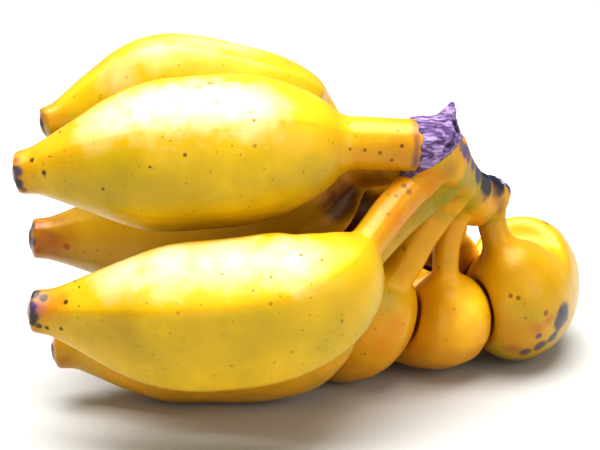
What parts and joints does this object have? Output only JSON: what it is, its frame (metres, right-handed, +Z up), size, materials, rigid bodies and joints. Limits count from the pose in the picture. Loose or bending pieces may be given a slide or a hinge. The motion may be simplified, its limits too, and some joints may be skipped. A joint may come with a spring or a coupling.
{
  "type": "hand of plantains",
  "caption": "Hand of short, plump, angular yellow plantain fingers joined at one woody cut crown, lying on its lower fingers.",
  "frame": {"origin": "under the middle of the bounding box, on the surface that the hand rests on", "axes": "+Z up; +X from the tips of the front row towards its stalks; +Y back through the hand"},
  "size_m": [0.1994, 0.2169, 0.1241],
  "materials": {
    "crown_wood": "matte, fibrous cut",
    "skin_yellow": "smooth waxy peel",
    "skin_amber": "smooth waxy peel"
  },
  "bodies": {
    "root": {"crown": "crown_wood", "finger_front_upper": "skin_yellow", "finger_front_lower": "skin_yellow", "finger_back_upper": "skin_yellow", "finger_back_middle": "skin_yellow", "finger_back_lower": "skin_yellow", "finger_end": "skin_yellow", "finger_side_lower": "skin_amber", "finger_side_narrow": "skin_amber", "finger_side_upper": "skin_amber", "finger_side_inner": "skin_amber"}
  },
  "joints": []
}
